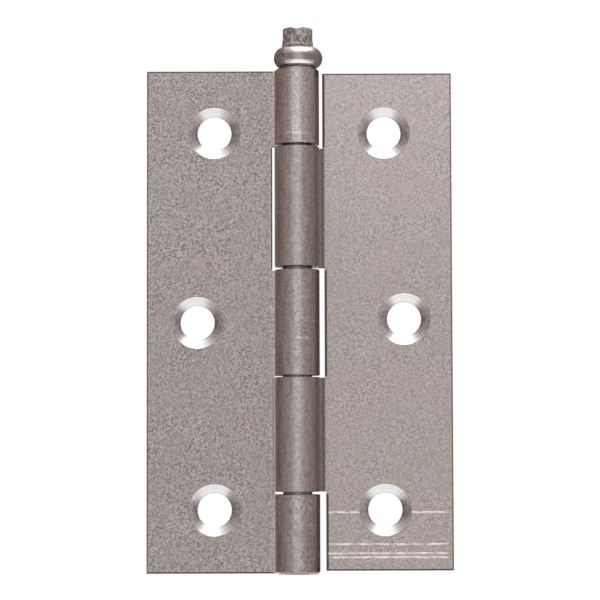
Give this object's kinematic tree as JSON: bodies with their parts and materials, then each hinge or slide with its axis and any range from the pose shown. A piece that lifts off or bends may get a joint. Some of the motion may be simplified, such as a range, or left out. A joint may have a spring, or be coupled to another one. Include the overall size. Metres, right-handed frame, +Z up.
{
  "type": "loose-pin butt hinge",
  "caption": "Pressed-steel butt hinge with rolled, interleaved knuckles; the leaves swing about a headed pin that draws out upward.",
  "frame": {"origin": "on the pin axis at the bottom end of the barrel", "axes": "+Z up the pin towards its bead; the open leaves lie along X, the frame leaf at -X; the countersunk faces look along -Y"},
  "size_m": [0.0609, 0.0096, 0.1083],
  "materials": {
    "leaf_steel": "fine-grained satin, a little warm",
    "pin_steel": "drawn wire, bright on the upset bead and rough on the gripped stub"
  },
  "bodies": {
    "frame_leaf": {"frame_leaf": "leaf_steel"},
    "door_leaf": {"door_leaf": "leaf_steel"},
    "hinge_pin": {"hinge_pin": "pin_steel"}
  },
  "joints": [
    {"name": "leaf_swing", "type": "hinge", "parent": "frame_leaf", "child": "door_leaf", "pos_m": [0, 0, 0.05], "axis": [0, 0, -1], "range_deg": [-100, 180]},
    {"name": "pin_lift", "type": "slide", "parent": "frame_leaf", "child": "hinge_pin", "axis": [0, 0, 1], "range_m": [0, 0.105]}
  ]
}
